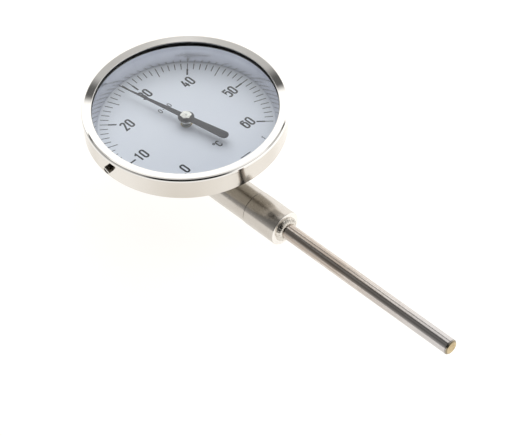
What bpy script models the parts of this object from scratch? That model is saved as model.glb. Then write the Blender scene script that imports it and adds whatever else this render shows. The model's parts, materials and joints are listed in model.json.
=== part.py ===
"""Bimetal dial thermometer: a 100 mm dial in a crimped steel case, on a neck and stem that leave the back
of the case through a right-angle elbow.

World frame, in metres: the origin is on the stem's axis, in the plane of the neck's end shoulder. +Z is the
way the dial faces, +Y points to the dial's 12 o'clock, and the stem runs along -Y.

The sizes below are in millimetres, and MM turns them into metres where a vertex is made. A turned piece is
given as a closed profile of (radius, height) points on its own axis. Three empties carry those axes:
dial_axis has its zero height at the bezel's face, stem_axis at the neck's shoulder with height towards the
stem's tip, and adjuster_axis at the dial's axis with height outwards through the case wall.
"""

import math

import bmesh
import bpy
from mathutils import Vector

MM = 0.001
FULL_TURN = 2 * math.pi
FINE = 48
MEDIUM = 32
SMALL = 20
SHARP = math.radians(35)
WELD = 1e-7

# Driving dimensions, in millimetres.
CASE_R = 50.5
RIM_R = 51.4
CASE_HEIGHT = 13.8
SHEET = 0.6
LIP_R = 46.0
LIP_DEPTH = 1.0
FIT = 0.3
SLIM_FIT = 0.05

GASKET_TOP = -1.2
GASKET_T = 0.4
GLASS_TOP = -1.8
GLASS_T = 1.4
WINDOW_R = 49.2
SPACER_TOP = -3.6
PAN_R = 49.5

DIAL_FACE = -12.35
DIAL_T = 0.5
DIAL_R = 47.9
BACK = -14.4
CUP_R = 16.0
CUP_DEPTH = 3.0

DIAL_Y = 67.7
BEZEL_TOP = 38.2
BEND_R = 13.0
ELBOW_R = 8.75
NECK_R = 9.0
SEAM = -20.0
STEM_R = 4.0
STEM_LENGTH = 107.8
TIP_T = 1.1

SPINDLE_R = 0.8
RUNNING_R = 0.9
ROD_R = 0.7
ROD_BORE_R = 0.8

POINTER_TOP = -7.85
POINTER_T = 0.4
POINTER_REACH = 41.0
POINTER_TAIL = 25.0
POINTER_BOSS_R = 4.05
POINT_HALF = 0.15
TAIL_HALF = 2.35
READING = 27.75
DIAL_TRIM = 0.65
MID_SCALE = 30.0
DEG_PER_UNIT = 4.5

ADJUSTER_Z = -6.6
HEAD_R = 2.0
HEAD_END = 52.7
SLOT_W = 0.8
SLOT_DEPTH = 1.1
SLOT_TILT = -28.0

RACK_INNER = 46.3
RACK_OUTER = 47.9
RING_TEETH = 240
RACK_TEETH = 14
PINION_TEETH = 8
PRESSURE = math.radians(25)
BACKLASH = 0.12

# Colour, metallic value and roughness of each finish.
FINISHES = {
    "polished steel": ((0.80, 0.78, 0.74), 1.0, 0.12),
    "turned steel": ((0.66, 0.63, 0.58), 1.0, 0.25),
    "stem steel": ((0.70, 0.67, 0.65), 1.0, 0.22),
    "weld": ((0.45, 0.42, 0.38), 1.0, 0.35),
    "satin aluminium": ((0.62, 0.63, 0.68), 1.0, 0.38),
    "white enamel": ((0.80, 0.83, 0.88), 0.0, 0.45),
    "black enamel": ((0.07, 0.07, 0.09), 0.0, 0.42),
    "nickel": ((0.84, 0.83, 0.80), 1.0, 0.18),
    "brass": ((0.76, 0.60, 0.32), 1.0, 0.28),
    "bimetal": ((0.60, 0.52, 0.42), 1.0, 0.40),
    "black rubber": ((0.02, 0.02, 0.02), 0.0, 0.60),
    "white nylon": ((0.85, 0.84, 0.80), 0.0, 0.50),
    "glass": ((0.95, 0.97, 0.97), 0.0, 0.02),
}


def material(name, finish):
    colour, metallic, roughness = FINISHES[finish]
    made = bpy.data.materials.new(name)
    made.use_nodes = True
    shader = made.node_tree.nodes["Principled BSDF"]
    shader.inputs["Base Color"].default_value = (*colour, 1.0)
    shader.inputs["Metallic"].default_value = metallic
    shader.inputs["Roughness"].default_value = roughness
    if finish == "glass":
        shader.inputs["Transmission Weight"].default_value = 1.0
    return made


def axis_empty(name, place, rotation=(0.0, 0.0, 0.0)):
    empty = bpy.data.objects.new(name, None)
    empty.location = Vector(place) * MM
    empty.rotation_euler = rotation
    bpy.context.scene.collection.objects.link(empty)
    return empty


def add(name, bm, finish, parent=None):
    """Makes the object of a closed bmesh and hangs it on its axis."""
    bmesh.ops.remove_doubles(bm, verts=bm.verts, dist=WELD)
    bmesh.ops.recalc_face_normals(bm, faces=bm.faces)
    mesh = bpy.data.meshes.new(name)
    bm.to_mesh(mesh)
    bm.free()
    mesh.shade_smooth()
    mesh.set_sharp_from_angle(angle=SHARP)
    mesh.materials.append(material(name, finish))
    piece = bpy.data.objects.new(name, mesh)
    piece.parent = parent
    bpy.context.scene.collection.objects.link(piece)
    return piece


def ring_of(bm, points):
    return [bm.verts.new(Vector(point) * MM) for point in points]


def join_rings(bm, first, second):
    for i, vert in enumerate(first):
        after = (i + 1) % len(first)
        bm.faces.new((vert, first[after], second[after], second[i]))


def turned(name, profile, finish, parent, steps=MEDIUM):
    """A solid of revolution. An edge of the profile that lies on the axis makes no surface."""
    bm = bmesh.new()
    verts = ring_of(bm, [(r, 0.0, z) for r, z in profile])
    edges = []
    for start, end in zip(verts, verts[1:] + verts[:1]):
        if start.co.x > 0 or end.co.x > 0:
            edges.append(bm.edges.new((start, end)))
    bmesh.ops.spin(
        bm, geom=verts + edges, cent=(0, 0, 0), axis=(0, 0, 1), angle=FULL_TURN, steps=steps, use_merge=True
    )
    return add(name, bm, finish, parent)


def plate(name, outline, low, high, finish, parent):
    """A flat outline, extruded from one height to another."""
    bm = bmesh.new()
    lower = ring_of(bm, [(x, y, low) for x, y in outline])
    upper = ring_of(bm, [(x, y, high) for x, y in outline])
    join_rings(bm, lower, upper)
    bm.faces.new(lower)
    bm.faces.new(upper)
    return add(name, bm, finish, parent)


def cut(piece, *cutters):
    for cutter in cutters:
        cutter.hide_render = True
        cutter.display_type = "WIRE"
        modifier = piece.modifiers.new(cutter.name, "BOOLEAN")
        modifier.operation = "DIFFERENCE"
        modifier.object = cutter
    return piece


def tube(inner, outer, low, high):
    return [(inner, low), (outer, low), (outer, high), (inner, high)]


def o_ring(middle, radius, height, sides=8):
    turns = [FULL_TURN * i / sides for i in range(sides)]
    return [(middle + radius * math.cos(a), height + radius * math.sin(a)) for a in turns]


def neck_point(s):
    """Point and direction on the neck's centre line. s is zero where the elbow's bend starts."""
    arc = BEND_R * math.pi / 2
    turn = min(max(s / BEND_R, 0.0), math.pi / 2)
    y = DIAL_Y - BEND_R + BEND_R * math.cos(turn) - max(s - arc, 0.0)
    z = BEND_R - BEND_R * math.sin(turn) - min(s, 0.0)
    return Vector((0, y, z)), Vector((0, -math.sin(turn), -math.cos(turn)))


def along_dial_axis(height):
    return BEND_R - BEZEL_TOP - height


def along_stem_axis(height):
    return BEND_R * math.pi / 2 + DIAL_Y - BEND_R + height


def around_neck_line(s, radius, angle):
    centre, ahead = neck_point(s)
    across = Vector((1, 0, 0))
    up = ahead.cross(across)
    return centre + radius * (math.cos(angle) * across + math.sin(angle) * up)


def make_bezel(dial_axis, wall_hole):
    rear = CASE_R - 0.1
    profile = [
        (LIP_R, -LIP_DEPTH),
        (LIP_R, -0.75),
        (LIP_R + 0.3, -0.45),
        (RIM_R - 1.1, 0.0),
        (RIM_R - 0.32, -0.32),
        (RIM_R, -1.1),
        (RIM_R - 0.3, -1.8),
        (CASE_R, -2.3),
        (rear, 1.05 - CASE_HEIGHT),
        (rear - 1.05, -CASE_HEIGHT),
        (rear - 1.4, 0.35 - CASE_HEIGHT),
        (rear - SHEET, 1.2 - CASE_HEIGHT),
        (CASE_R - SHEET, -1.1),
        (CASE_R - 1.2, -SHEET),
        (LIP_R + SHEET, -LIP_DEPTH),
    ]
    bezel = turned("bezel_ring", profile, "polished steel", dial_axis, FINE)
    return cut(bezel, wall_hole)


def make_pan(dial_axis, wall_hole):
    rim = SPACER_TOP - 0.8
    cup = BACK - CUP_DEPTH
    profile = [
        (PAN_R, rim),
        (PAN_R, BACK + 1.9),
        (PAN_R - 1.9, BACK),
        (CUP_R, BACK),
        (CUP_R - 0.8, cup),
        (5.8, cup),
        (5.8, cup + SHEET),
        (CUP_R - 1.3, cup + SHEET),
        (CUP_R - 0.5, BACK + SHEET),
        (PAN_R - 2.15, BACK + SHEET),
        (PAN_R - SHEET, BACK + 2.15),
        (PAN_R - SHEET, rim),
    ]
    pan = turned("case_pan", profile, "turned steel", dial_axis, FINE)
    return cut(pan, wall_hole)


def make_window(dial_axis):
    gasket = tube(LIP_R - 0.2, WINDOW_R, GASKET_TOP - GASKET_T, GASKET_TOP)
    turned("window_gasket", gasket, "black rubber", dial_axis, FINE)
    glass = tube(0.0, WINDOW_R, GLASS_TOP - GLASS_T, GLASS_TOP)
    turned("window_glass", glass, "glass", dial_axis, FINE)
    foot = DIAL_FACE + FIT
    flange = SPACER_TOP - 0.5
    spacer = [
        (43.7, foot),
        (44.2, foot),
        (46.1, flange),
        (PAN_R, flange),
        (PAN_R, SPACER_TOP),
        (45.6, SPACER_TOP),
    ]
    turned("spacer_ring", spacer, "satin aluminium", dial_axis, FINE)


def make_dial(dial_axis):
    back = DIAL_FACE - DIAL_T
    turned("dial_plate", tube(2.9, DIAL_R, back, DIAL_FACE), "white enamel", dial_axis, FINE)
    turned("dial_hub", tube(2.7, 5.0, back - 0.8, back - 0.1), "brass", dial_axis, SMALL)
    make_rack(dial_axis)


def make_rack(dial_axis):
    """A sector of crown teeth that stand up from the dial's rim, about the case's 9 o'clock."""
    pitch_r = (RACK_INNER + RACK_OUTER) / 2
    pitch = FULL_TURN * pitch_r / RING_TEETH
    pitch_z = ADJUSTER_Z - pitch_r * PINION_TEETH / RING_TEETH
    tip = 0.27
    root = 0.45
    half = (pitch - BACKLASH) / 4
    outline = [
        (-half - root * math.tan(PRESSURE), -root),
        (-half + tip * math.tan(PRESSURE), tip),
        (half - tip * math.tan(PRESSURE), tip),
        (half + root * math.tan(PRESSURE), -root),
    ]
    columns = []
    for tooth in range(RACK_TEETH + 1):
        middle = (tooth - RACK_TEETH / 2) * pitch
        columns += [(math.pi + (middle + x) / pitch_r, pitch_z + z) for x, z in outline]
    base = DIAL_FACE + 0.15
    bm = bmesh.new()
    loops = []
    for angle, top in columns:
        corners = ((RACK_INNER, base), (RACK_OUTER, base), (RACK_OUTER, top), (RACK_INNER, top))
        loops.append(ring_of(bm, [(r * math.cos(angle), r * math.sin(angle), z) for r, z in corners]))
    for first, second in zip(loops, loops[1:]):
        join_rings(bm, first, second)
    bm.faces.new(loops[0])
    bm.faces.new(loops[-1])
    add("dial_rack", bm, "brass", dial_axis)


def involute(angle):
    return math.tan(angle) - angle


def make_pinion(adjuster_axis, bore):
    """Eight teeth. A space, not a tooth, points at the crown teeth below."""
    pitch_r = (RACK_INNER + RACK_OUTER) / 2 * PINION_TEETH / RING_TEETH
    base_r = pitch_r * math.cos(PRESSURE)
    tooth_half = (FULL_TURN * pitch_r / PINION_TEETH - BACKLASH) / 4 / pitch_r
    flank = []
    for radius in (pitch_r - 0.5, base_r, pitch_r, pitch_r + 0.33):
        roll = math.acos(min(base_r / radius, 1.0))
        flank.append((radius, tooth_half + involute(PRESSURE) - involute(roll)))
    outline = []
    for tooth in range(PINION_TEETH):
        middle = FULL_TURN * (tooth + 0.5) / PINION_TEETH
        sides = [(r, middle - a) for r, a in flank] + [(r, middle + a) for r, a in reversed(flank)]
        outline += [(r * math.cos(a), r * math.sin(a)) for r, a in sides]
    pinion = plate("adjusting_pinion", outline, RACK_INNER + 0.1, RACK_OUTER - 0.1, "brass", adjuster_axis)
    cut(pinion, bore)


def make_adjuster(adjuster_axis):
    shoulder = CASE_R + 0.15
    screw = [
        (0.0, RACK_INNER - 0.1),
        (0.55, RACK_INNER - 0.1),
        (0.55, RACK_OUTER),
        (0.8, RACK_OUTER),
        (0.8, shoulder),
        (HEAD_R - 0.15, shoulder),
        (HEAD_R, shoulder + 0.15),
        (HEAD_R, HEAD_END - 0.2),
        (HEAD_R - 0.2, HEAD_END),
        (0.0, HEAD_END),
    ]
    head = turned("adjusting_screw", screw, "nickel", adjuster_axis, SMALL)
    half = SLOT_W / 2
    tilt = math.radians(SLOT_TILT)
    corners = ((-half, -3.0), (half, -3.0), (half, 3.0), (-half, 3.0))
    slot = [
        (x * math.cos(tilt) - y * math.sin(tilt), x * math.sin(tilt) + y * math.cos(tilt)) for x, y in corners
    ]
    cut(head, plate("screw_slot", slot, HEAD_END - SLOT_DEPTH, HEAD_END + 1.0, "brass", adjuster_axis))
    bush = [(0.9, 48.3), (1.9, 48.3), (1.9, 48.6), (1.2, 48.6), (1.2, 50.0), (0.9, 50.0)]
    turned("screw_bush", bush, "brass", adjuster_axis, SMALL)
    turned("screw_seal", o_ring(1.1, 0.19, 50.3), "black rubber", adjuster_axis, SMALL)
    bore = turned("pinion_bore", tube(0.0, 0.62, RACK_INNER - 1, RACK_OUTER + 1), "brass", adjuster_axis, SMALL)
    make_pinion(adjuster_axis, bore)


def pointer_outline():
    """A wedge that widens evenly from its point towards +Y to the round end of its tail, with a round boss."""
    tail_centre = TAIL_HALF - POINTER_TAIL
    taper = (TAIL_HALF - POINT_HALF) / (POINTER_REACH - tail_centre)
    boss = []
    steps = 14
    for side in (1, -1):
        start = math.asin((POINT_HALF + taper * (POINTER_REACH - POINTER_BOSS_R)) / POINTER_BOSS_R)
        end = math.pi - math.asin((POINT_HALF + taper * (POINTER_REACH + POINTER_BOSS_R)) / POINTER_BOSS_R)
        arc = [start + (end - start) * i / steps for i in range(steps + 1)]
        points = [(side * POINTER_BOSS_R * math.sin(a), POINTER_BOSS_R * math.cos(a)) for a in arc]
        boss.append(points)
    turns = [math.pi * i / 10 for i in range(11)]
    tail = [(TAIL_HALF * math.cos(a), tail_centre - TAIL_HALF * math.sin(a)) for a in turns]
    return [(-POINT_HALF, POINTER_REACH), (POINT_HALF, POINTER_REACH)] + boss[0] + tail + boss[1][::-1]


def make_pointer(pointer_axis):
    low = POINTER_TOP - POINTER_T
    hole = turned("pointer_hole", tube(0.0, 0.9, low - 1, POINTER_TOP + 1), "brass", pointer_axis, SMALL)
    blade = plate("pointer", pointer_outline(), low, POINTER_TOP, "black enamel", pointer_axis)
    cut(blade, hole)
    bore = SPINDLE_R + SLIM_FIT
    nut_base = POINTER_TOP + 0.1
    nut_top = POINTER_TOP + 1.5
    corner = 2.9
    nut = [
        (0.0, nut_top),
        (corner - 0.35, nut_top),
        (corner, nut_top - 0.25),
        (corner, nut_base),
        (0.0, nut_base),
    ]
    socket = [
        (0.0, nut_base - 1.0),
        (bore, nut_base - 1.0),
        (bore, nut_base + 0.8),
        (0.35, nut_base + 0.8),
        (0.35, nut_top + 1.0),
        (0.0, nut_top + 1.0),
    ]
    nut_socket = turned("nut_socket", socket, "brass", pointer_axis, SMALL)
    cut(turned("pointer_nut", nut, "nickel", pointer_axis, 6), nut_socket)
    hub_top = low - 0.1
    hub = [
        (bore, hub_top),
        (3.3, hub_top),
        (3.3, hub_top - 0.6),
        (2.9, hub_top - 0.8),
        (2.4, hub_top - 2.7),
        (bore, hub_top - 2.7),
    ]
    turned("pointer_hub", hub, "nickel", pointer_axis, SMALL)
    spindle = tube(0.0, SPINDLE_R, along_dial_axis(2.0), nut_base + 0.7)
    turned("pointer_spindle", spindle, "turned steel", pointer_axis, SMALL)
    turned("upper_spring_hub", tube(bore, 2.2, -26.6, -24.0), "brass", pointer_axis, SMALL)


def make_spindle_bush(dial_axis):
    nose = 2.55
    body = 3.0
    shoulder = BACK + 0.5
    profile = [
        (RUNNING_R, DIAL_FACE + 0.75),
        (nose, DIAL_FACE + 0.75),
        (nose, shoulder),
        (body, shoulder),
        (body, -22.0),
        (RUNNING_R, -22.0),
    ]
    turned("spindle_bush", profile, "nickel", dial_axis, SMALL)


def make_case_joint(dial_axis):
    cup_out = BACK - CUP_DEPTH
    cup_in = cup_out + SHEET
    turned("flange_seal", tube(6.2, 12.0, cup_out - 0.6, cup_out - 0.1), "black rubber", dial_axis)
    turned("lock_washer", tube(5.7, 9.0, cup_in + 0.1, cup_in + 0.6), "nickel", dial_axis, MEDIUM)
    corner = 9.2
    nut = [
        (0.0, cup_in + 0.7),
        (corner - 0.5, cup_in + 0.7),
        (corner, cup_in + 1.0),
        (corner, cup_in + 2.0),
        (corner - 0.5, cup_in + 2.3),
        (0.0, cup_in + 2.3),
    ]
    nut_bore = turned("nut_bore", tube(0.0, 5.8, -20.0, -10.0), "brass", dial_axis, MEDIUM)
    cut(turned("elbow_nut", nut, "nickel", dial_axis, 6), nut_bore)


def make_elbow():
    """Turned profile swept round the bend: threaded spigot, flange, leg, bend, leg and neck spigot."""
    spigot_top = along_dial_axis(BACK + 0.3)
    flange_top = along_dial_axis(BACK - CUP_DEPTH - 0.8)
    flange_end = flange_top + 2.0
    cavity = along_dial_axis(-22.6)
    joint = along_stem_axis(SEAM - FIT)
    end = along_stem_axis(-12.0)
    bend = [BEND_R * math.pi / 2 * i / 6 for i in range(7)]
    profile = [(5.5, spigot_top), (5.5, flange_top), (12.2, flange_top), (12.5, flange_top + 0.3)]
    profile += [(12.5, flange_end - 0.3), (12.2, flange_end), (ELBOW_R, flange_end)]
    profile += [(ELBOW_R, s) for s in bend]
    profile += [(ELBOW_R, joint), (6.0, joint), (6.0, end), (4.6, end)]
    profile += [(4.6, s) for s in reversed(bend)]
    profile += [(4.6, cavity), (3.2, cavity), (3.2, spigot_top)]
    bm = bmesh.new()
    rings = []
    for radius, s in profile:
        turns = [FULL_TURN * i / MEDIUM for i in range(MEDIUM)]
        rings.append(ring_of(bm, [around_neck_line(s, radius, a) for a in turns]))
    for first, second in zip(rings, rings[1:] + rings[:1]):
        join_rings(bm, first, second)
    add("elbow_body", bm, "turned steel")


def make_coupling_spring():
    """A close spring of round wire that carries the turn round the bend."""
    start = along_dial_axis(-27.2)
    end = along_stem_axis(-53.4)
    turns = 9
    per_turn = 10
    count = turns * per_turn
    curve = bpy.data.curves.new("coupling_spring", "CURVE")
    curve.dimensions = "3D"
    curve.bevel_depth = 0.3 * MM
    curve.bevel_resolution = 1
    curve.use_fill_caps = True
    spline = curve.splines.new("POLY")
    spline.points.add(count)
    for i, point in enumerate(spline.points):
        place = around_neck_line(start + (end - start) * i / count, 1.8, FULL_TURN * i / per_turn)
        point.co = (*(place * MM), 1.0)
    curve.materials.append(material("coupling_spring", "nickel"))
    bpy.context.scene.collection.objects.link(bpy.data.objects.new("coupling_spring", curve))


def make_neck(stem_axis):
    sleeve = [
        (4.3, 0.0),
        (NECK_R - 0.5, 0.0),
        (NECK_R, -0.5),
        (NECK_R, SEAM + 0.25),
        (NECK_R - 0.25, SEAM),
        (6.3, SEAM),
        (6.3, -10.2),
        (4.3, -10.2),
    ]
    turned("neck_sleeve", sleeve, "turned steel", stem_axis, MEDIUM)
    turned("neck_seal", o_ring(5.4, 0.55, -11.2), "black rubber", stem_axis, SMALL)
    weld = [(4.2, 0.15), (6.6, 0.15), (6.3, 0.65), (5.3, 1.15), (4.7, 2.1), (4.2, 2.3)]
    turned("stem_weld", weld, "weld", stem_axis, MEDIUM)


def make_stem(stem_axis):
    tube_end = STEM_LENGTH - TIP_T
    turned("stem_tube", tube(STEM_R - 0.5, STEM_R, -9.5, tube_end), "stem steel", stem_axis)
    tip = [
        (0.0, tube_end - 3.0),
        (STEM_R - 0.65, tube_end - 3.0),
        (STEM_R - 0.65, tube_end + 0.15),
        (STEM_R, tube_end + 0.15),
        (STEM_R, STEM_LENGTH - 0.5),
        (STEM_R - 0.15, STEM_LENGTH - 0.15),
        (STEM_R - 0.5, STEM_LENGTH),
        (0.0, STEM_LENGTH),
    ]
    turned("stem_tip", tip, "stem steel", stem_axis)


def make_rod(stem_axis):
    turned("transmission_rod", tube(0.0, ROD_R, -51.5, 100.5), "turned steel", stem_axis, 16)
    turned("lower_spring_hub", tube(ROD_R + SLIM_FIT, 2.2, -53.0, -50.0), "brass", stem_axis, SMALL)
    turned("coil_collar", tube(ROD_R + SLIM_FIT, 2.8, 32.5, 35.0), "brass", stem_axis, SMALL)
    turned("elbow_rod_bush", tube(ROD_BORE_R, 4.3, -46.0, -42.0), "white nylon", stem_axis, SMALL)
    bush_r = STEM_R - 0.62
    turned("neck_rod_bush", tube(ROD_BORE_R, bush_r, -9.0, -5.0), "white nylon", stem_axis, SMALL)
    turned("stem_rod_bush", tube(ROD_BORE_R, bush_r, 27.0, 31.0), "white nylon", stem_axis, SMALL)
    turned("coil_anchor", tube(ROD_BORE_R, bush_r, 97.2, 101.0), "brass", stem_axis, SMALL)


def make_bimetal_coil(stem_axis):
    """A strip of bimetal, wound as a helix on its flat side."""
    inner, outer = 2.45, 2.75
    half = 1.9
    start, end = 37.2, 95.0
    per_turn = 14
    count = 11 * per_turn
    bm = bmesh.new()
    rings = []
    for i in range(count + 1):
        angle = FULL_TURN * i / per_turn
        middle = start + (end - start) * i / count
        corners = ((inner, -half), (outer, -half), (outer, half), (inner, half))
        rings.append(ring_of(bm, [(r * math.cos(angle), r * math.sin(angle), middle + z) for r, z in corners]))
    for first, second in zip(rings, rings[1:]):
        join_rings(bm, first, second)
    bm.faces.new(rings[0])
    bm.faces.new(rings[-1])
    add("bimetal_coil", bm, "bimetal", stem_axis)


def main():
    for leftover in list(bpy.data.objects):
        bpy.data.objects.remove(leftover, do_unlink=True)
    dial_axis = axis_empty("dial_axis", (0, DIAL_Y, BEZEL_TOP))
    pointer_turn = math.radians((MID_SCALE - READING) * DEG_PER_UNIT + DIAL_TRIM)
    pointer_axis = axis_empty("pointer_axis", (0, DIAL_Y, BEZEL_TOP), (0.0, 0.0, pointer_turn))
    stem_axis = axis_empty("stem_axis", (0, 0, 0), (math.pi / 2, 0.0, 0.0))
    adjuster_axis = axis_empty("adjuster_axis", (0, DIAL_Y, BEZEL_TOP + ADJUSTER_Z), (0.0, -math.pi / 2, 0.0))
    wall_hole = turned("wall_hole", tube(0.0, 1.45, 48.0, 52.0), "brass", adjuster_axis, SMALL)

    make_bezel(dial_axis, wall_hole)
    make_pan(dial_axis, wall_hole)
    make_window(dial_axis)
    make_dial(dial_axis)
    make_adjuster(adjuster_axis)
    make_pointer(pointer_axis)
    make_spindle_bush(dial_axis)
    make_case_joint(dial_axis)
    make_elbow()
    make_coupling_spring()
    make_neck(stem_axis)
    make_stem(stem_axis)
    make_rod(stem_axis)
    make_bimetal_coil(stem_axis)


main()
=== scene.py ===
"""Looks of the dial thermometer: fine meshes and materials around the CAD model, light and camera."""

import json
import math

import bmesh
import bpy
from mathutils import Matrix, Vector


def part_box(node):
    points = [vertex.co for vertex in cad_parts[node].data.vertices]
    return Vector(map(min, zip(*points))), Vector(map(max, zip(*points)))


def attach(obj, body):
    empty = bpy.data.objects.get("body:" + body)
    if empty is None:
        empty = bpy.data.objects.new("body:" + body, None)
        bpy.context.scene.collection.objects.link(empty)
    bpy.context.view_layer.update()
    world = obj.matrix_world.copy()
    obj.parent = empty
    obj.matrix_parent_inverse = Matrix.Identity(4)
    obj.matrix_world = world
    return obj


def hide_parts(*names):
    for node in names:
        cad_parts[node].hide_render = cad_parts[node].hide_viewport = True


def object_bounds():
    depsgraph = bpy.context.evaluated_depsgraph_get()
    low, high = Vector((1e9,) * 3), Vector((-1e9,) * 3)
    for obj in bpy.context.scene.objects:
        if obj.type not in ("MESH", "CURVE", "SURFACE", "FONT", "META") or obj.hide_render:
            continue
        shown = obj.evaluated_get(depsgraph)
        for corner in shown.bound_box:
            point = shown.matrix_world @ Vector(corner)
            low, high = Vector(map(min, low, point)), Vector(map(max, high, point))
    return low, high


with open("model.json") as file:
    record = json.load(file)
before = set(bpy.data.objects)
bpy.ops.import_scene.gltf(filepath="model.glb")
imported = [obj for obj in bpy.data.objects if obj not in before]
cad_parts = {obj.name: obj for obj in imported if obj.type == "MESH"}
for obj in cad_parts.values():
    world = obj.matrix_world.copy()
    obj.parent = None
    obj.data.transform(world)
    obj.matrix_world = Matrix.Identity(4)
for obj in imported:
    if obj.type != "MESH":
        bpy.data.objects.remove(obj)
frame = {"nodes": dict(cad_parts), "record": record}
CAD_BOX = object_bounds()

MM = 0.001
FULL_TURN = 2 * math.pi
SHARP = math.radians(40)
X, Y, Z = Vector((1, 0, 0)), Vector((0, 1, 0)), Vector((0, 0, 1))

# ---------------------------------------------------------------- places, read from the frame


def middle(node):
    low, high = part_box(node)
    return (low + high) / 2


BEZEL_LOW, BEZEL_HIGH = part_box("bezel_ring")
DIAL_AXIS = Vector((0, middle("bezel_ring").y, BEZEL_HIGH.z))
STEM_AXIS = Vector((0, 0, 0))
SCREW_AXIS = Vector((0, DIAL_AXIS.y, middle("adjusting_screw").z))
RIM_R = (BEZEL_HIGH.y - BEZEL_LOW.y) / 2 / MM
CASE_R = RIM_R - 0.9
CASE_HEIGHT = (BEZEL_HIGH.z - BEZEL_LOW.z) / MM
STEM_END = -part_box("stem_tip")[0].y / MM
STEM_R = (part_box("stem_tube")[1].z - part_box("stem_tube")[0].z) / 2 / MM
NECK_R = (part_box("neck_sleeve")[1].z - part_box("neck_sleeve")[0].z) / 2 / MM
SEAM = -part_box("neck_sleeve")[1].y / MM
DIAL_FACE = (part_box("dial_plate")[1].z - DIAL_AXIS.z) / MM
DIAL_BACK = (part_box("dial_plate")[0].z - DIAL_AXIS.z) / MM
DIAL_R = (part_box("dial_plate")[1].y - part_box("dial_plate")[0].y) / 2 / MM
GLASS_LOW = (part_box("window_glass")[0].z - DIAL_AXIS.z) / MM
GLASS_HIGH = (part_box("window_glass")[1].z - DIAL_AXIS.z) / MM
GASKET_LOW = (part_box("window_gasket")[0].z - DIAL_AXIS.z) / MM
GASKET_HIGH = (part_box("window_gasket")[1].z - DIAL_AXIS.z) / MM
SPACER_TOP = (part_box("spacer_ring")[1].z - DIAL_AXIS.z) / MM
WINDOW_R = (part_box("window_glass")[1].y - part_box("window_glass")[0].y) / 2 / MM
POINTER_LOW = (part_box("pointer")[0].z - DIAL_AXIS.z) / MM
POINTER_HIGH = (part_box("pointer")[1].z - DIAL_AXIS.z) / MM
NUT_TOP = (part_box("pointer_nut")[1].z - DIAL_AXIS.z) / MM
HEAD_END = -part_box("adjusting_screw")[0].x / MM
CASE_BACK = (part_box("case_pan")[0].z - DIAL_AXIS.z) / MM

# Sizes of the looks, in millimetres, where the frame's boxes don't give them.
LIP_R = 46.0
LIP_DEPTH = 1.0
HEAD_R = 2.0
NUT_CORNER_R = 2.88
SLOT_W = 1.1
SLOT_DEPTH = 0.12
SLOT_TILT = -28.0
ELBOW_R = 8.75
BEND_R = 13.0
READING = 27.75
DIAL_TRIM = math.radians(0.65)
MID_SCALE = 30
SCALE_END = 60
DEG_PER_UNIT = 4.5
TIP_LENGTH = 1.1
SCREW_HOLE_R = 1.45

# Steps round a turned piece.
RIM_STEPS = 256
DISC_STEPS = 192
TUBE_STEPS = 96
SMALL_STEPS = 64
HOLE_STEPS = 32

# ---------------------------------------------------------------- meshes


def dial_place(radius, angle, height):
    out = math.cos(angle) * X + math.sin(angle) * Y
    return DIAL_AXIS + (radius * out + height * Z) * MM


def stem_place(radius, angle, height):
    out = math.cos(angle) * X + math.sin(angle) * Z
    return STEM_AXIS + (radius * out - height * Y) * MM


def screw_place(radius, angle, height):
    out = math.cos(angle) * Z + math.sin(angle) * Y
    return SCREW_AXIS + (radius * out - height * X) * MM


def turned(x, y, angle):
    """The point (x, y) turned about the origin."""
    return x * math.cos(angle) - y * math.sin(angle), x * math.sin(angle) + y * math.cos(angle)


def pointer_place(x, y, z):
    turn = math.radians((MID_SCALE - READING) * DEG_PER_UNIT) + DIAL_TRIM
    return DIAL_AXIS + Vector((*turned(x, y, turn), z)) * MM


def rounded(corners, steps=5):
    """Points of a closed outline. Each corner is (x, y, radius of its rounding)."""
    points = []
    count = len(corners)
    for i, (x, y, radius) in enumerate(corners):
        here = Vector((x, y))
        back = Vector(corners[i - 1][:2]) - here
        ahead = Vector(corners[(i + 1) % count][:2]) - here
        if radius <= 0:
            points.append((x, y))
            continue
        half = back.angle(ahead) / 2
        reach = min(radius / math.tan(half), 0.49 * back.length, 0.49 * ahead.length)
        start = here + back.normalized() * reach
        end = here + ahead.normalized() * reach
        for k in range(steps + 1):
            t = k / steps
            point = start * (1 - t) ** 2 + here * 2 * t * (1 - t) + end * t**2
            points.append((point.x, point.y))
    return points


PIECES = []


def even_normals():
    """Keeps flat faces flat beside their small rounded edges."""
    for piece in PIECES:
        modifier = piece.modifiers.new("normals", "WEIGHTED_NORMAL")
        modifier.keep_sharp = True


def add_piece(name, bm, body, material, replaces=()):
    bmesh.ops.remove_doubles(bm, verts=bm.verts, dist=1e-7)
    bmesh.ops.recalc_face_normals(bm, faces=bm.faces)
    mesh = bpy.data.meshes.new(name)
    bm.to_mesh(mesh)
    bm.free()
    mesh.shade_smooth()
    mesh.set_sharp_from_angle(angle=SHARP)
    piece = bpy.data.objects.new(name, mesh)
    PIECES.append(piece)
    bpy.context.scene.collection.objects.link(piece)
    mesh.materials.append(material)
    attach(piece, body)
    if replaces:
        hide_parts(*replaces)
    return piece


def lathe(profile, place, steps):
    """A bmesh of revolution round one of the axes. Edges that lie on the axis make no surface."""
    bm = bmesh.new()
    rings = []
    for radius, height in profile:
        if radius < 1e-6:
            rings.append([bm.verts.new(place(0, 0, height))] * steps)
        else:
            turns = [FULL_TURN * i / steps for i in range(steps)]
            rings.append([bm.verts.new(place(radius, turn, height)) for turn in turns])
    for first, second in zip(rings, rings[1:] + rings[:1]):
        for i in range(steps):
            after = (i + 1) % steps
            corners = [first[i], first[after], second[after], second[i]]
            corners = list(dict.fromkeys(corners))
            if len(corners) > 2:
                bm.faces.new(corners)
    return bm


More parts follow.
